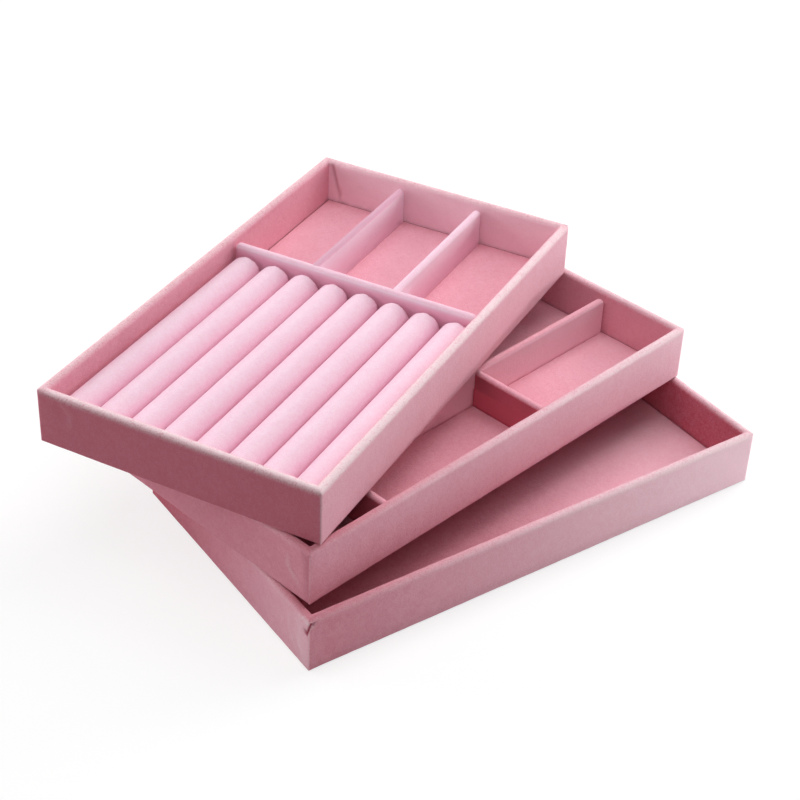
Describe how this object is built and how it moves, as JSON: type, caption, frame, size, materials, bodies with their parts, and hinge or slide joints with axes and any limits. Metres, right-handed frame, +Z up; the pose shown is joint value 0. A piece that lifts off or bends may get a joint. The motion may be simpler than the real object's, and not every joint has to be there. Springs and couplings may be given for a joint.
{
  "type": "stack of jewelry trays",
  "caption": "Velvet-covered jewelry trays stacked and fanned out: one with ring rolls and compartments, one with a divider grid and one open; each lifts off the one below.",
  "frame": {"origin": "centre of the bottom tray's underside", "axes": "+X along the bottom tray's long side, +Y along its short side towards the fanned-out trays, +Z up"},
  "size_m": [0.3235, 0.2674, 0.0896],
  "materials": {
    "board": "raw grey board",
    "card": "raw card",
    "tray_velvet": "dusty pink velvet",
    "insert_velvet": "pastel pink velvet",
    "underside_cloth": "flat felt",
    "foam": "open foam"
  },
  "bodies": {
    "bottom_tray": {"bottom_base_board": "board", "bottom_front_wall": "board", "bottom_rear_wall": "board", "bottom_left_wall": "board", "bottom_right_wall": "board", "bottom_velvet_wrap": "tray_velvet", "bottom_floor_card": "card", "bottom_floor_velvet": "tray_velvet", "bottom_underside_panel": "underside_cloth"},
    "middle_tray": {"middle_base_board": "board", "middle_front_wall": "board", "middle_rear_wall": "board", "middle_left_wall": "board", "middle_right_wall": "board", "middle_velvet_wrap": "tray_velvet", "middle_floor_card": "card", "middle_floor_velvet": "tray_velvet", "middle_underside_panel": "underside_cloth", "middle_first_cross_divider_core": "card", "middle_first_cross_divider_velvet": "tray_velvet", "middle_second_cross_divider_core": "card", "middle_second_cross_divider_velvet": "tray_velvet", "middle_front_long_divider_core": "card", "middle_front_long_divider_velvet": "tray_velvet", "middle_rear_long_divider_core": "card", "middle_rear_long_divider_velvet": "tray_velvet"},
    "top_tray": {"top_base_board": "board", "top_front_wall": "board", "top_rear_wall": "board", "top_left_wall": "board", "top_right_wall": "board", "top_velvet_wrap": "tray_velvet", "top_floor_card": "card", "top_floor_velvet": "tray_velvet", "top_underside_panel": "underside_cloth"},
    "ring_insert": {"insert_cross_divider_core": "card", "insert_cross_divider_velvet": "insert_velvet", "insert_front_short_divider_core": "card", "insert_front_short_divider_velvet": "insert_velvet", "insert_rear_short_divider_core": "card", "insert_rear_short_divider_velvet": "insert_velvet", "insert_card": "card", "ring_roll_1_foam": "foam", "ring_roll_1_velvet": "insert_velvet", "ring_roll_2_foam": "foam", "ring_roll_2_velvet": "insert_velvet", "ring_roll_3_foam": "foam", "ring_roll_3_velvet": "insert_velvet", "ring_roll_4_foam": "foam", "ring_roll_4_velvet": "insert_velvet", "ring_roll_5_foam": "foam", "ring_roll_5_velvet": "insert_velvet", "ring_roll_6_foam": "foam", "ring_roll_6_velvet": "insert_velvet", "ring_roll_7_foam": "foam", "ring_roll_7_velvet": "insert_velvet", "ring_roll_8_foam": "foam", "ring_roll_8_velvet": "insert_velvet"}
  },
  "joints": [
    {"name": "middle_tray_lift", "type": "slide", "parent": "bottom_tray", "child": "middle_tray", "axis": [0, 0, 1], "range_m": [0, 0.06]},
    {"name": "top_tray_lift", "type": "slide", "parent": "middle_tray", "child": "top_tray", "axis": [0, 0, 1], "range_m": [0, 0.06]},
    {"name": "ring_insert_lift", "type": "slide", "parent": "top_tray", "child": "ring_insert", "axis": [0, 0, 1], "range_m": [0, 0.04]}
  ]
}
